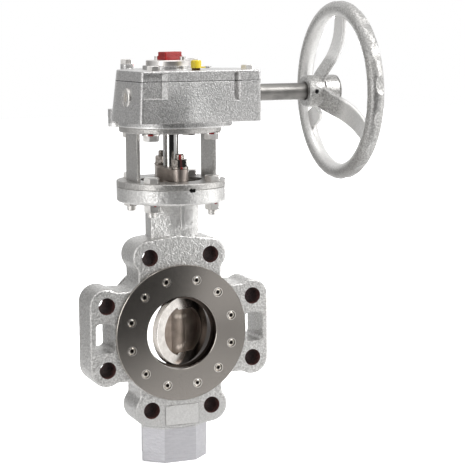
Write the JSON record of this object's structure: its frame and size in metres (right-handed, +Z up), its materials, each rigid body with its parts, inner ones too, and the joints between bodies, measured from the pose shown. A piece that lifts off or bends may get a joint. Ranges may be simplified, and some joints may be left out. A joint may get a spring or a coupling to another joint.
{
  "type": "triple offset butterfly valve",
  "caption": "Lug-wafer triple offset butterfly valve with a screwed seat ring, an open bracket, a worm gearbox with a position pointer, and a handwheel that turns the disc.",
  "frame": {"origin": "centre of the bore, on its axis, half way between the two sealing faces", "axes": "+Y along the bore from the retainer ring to the rear face; +Z up along the stem to the gearbox; +X towards the handwheel"},
  "size_m": [0.3057, 0.218, 0.5254],
  "materials": {
    "cast_paint": "silver-grey paint over a rough sand casting",
    "turned_steel": "turned stainless steel",
    "gland_steel": "brushed stainless steel",
    "polished_steel": "ground stainless steel",
    "plate_paint": "silver-grey paint on cut steel plate",
    "zinc": "bright zinc-plated steel",
    "dark_steel": "hardened dark steel",
    "iron": "machined ductile iron",
    "bronze": "bearing bronze",
    "graphite": "pressed graphite",
    "rubber": "nitrile rubber",
    "red_plastic": "moulded red plastic",
    "yellow_plastic": "moulded yellow plastic"
  },
  "bodies": {
    "valve": {"valve_body": "cast_paint", "retainer_ring": "turned_steel", "retainer_screws": "polished_steel", "retainer_gasket": "graphite", "seat_steel_layers": "polished_steel", "seat_graphite_layers": "graphite", "upper_bearing": "turned_steel", "lower_bearing": "turned_steel", "stem_thrust_pad": "bronze", "plug_gasket": "graphite", "bottom_plug": "dark_steel", "packing_washer": "turned_steel", "packing_rings": "graphite", "gland_bush": "gland_steel", "gland_flange": "gland_steel", "gland_studs": "zinc", "gland_washers": "zinc", "gland_nuts": "zinc", "bracket_lower_plate": "plate_paint", "bracket_upper_plate": "plate_paint", "bracket_left_post": "plate_paint", "bracket_right_post": "plate_paint", "bracket_bolts": "zinc", "bracket_nuts": "zinc", "gearbox_washers": "zinc", "gearbox_bolts": "zinc", "gearbox_housing": "cast_paint", "cover_gasket": "graphite", "gearbox_cover": "cast_paint", "cover_bolts": "zinc", "side_plug": "zinc", "stop_screws": "zinc", "stop_lock_nuts": "zinc", "lower_wheel_bush": "bronze", "upper_wheel_bush": "bronze", "wheel_thrust_washer": "bronze", "stem_seal": "rubber", "worm_inner_bush": "bronze", "inner_thrust_washer": "dark_steel", "outer_thrust_washer": "dark_steel", "worm_outer_bush": "bronze", "shaft_circlip": "dark_steel", "shaft_seal": "rubber", "indicator_seal": "rubber", "indicator_base": "cast_paint", "indicator_screws": "zinc", "grease_nipple": "zinc", "grease_cap": "yellow_plastic", "vent_plug": "dark_steel"},
    "stem_and_disc": {"disc": "turned_steel", "disc_pins": "polished_steel", "stem": "polished_steel", "stem_key": "dark_steel", "worm_wheel": "iron", "indicator_pointer": "red_plastic"},
    "handwheel_and_worm": {"worm_shaft": "polished_steel", "handwheel": "cast_paint", "handwheel_pin": "dark_steel"}
  },
  "joints": [
    {"name": "stem_turn", "type": "hinge", "parent": "valve", "child": "stem_and_disc", "pos_m": [-0.0015, 0, 0], "axis": [0, 0, 1], "range_deg": [-24, 66]},
    {"name": "handwheel_turn", "type": "hinge", "parent": "valve", "child": "handwheel_and_worm", "pos_m": [0, -0.042, 0.2718], "axis": [1, 0, 0], "range_deg": [-960, 2640]}
  ],
  "couplings": [
    {"joint": "stem_turn", "follows": "handwheel_turn", "ratio": 0.025}
  ]
}
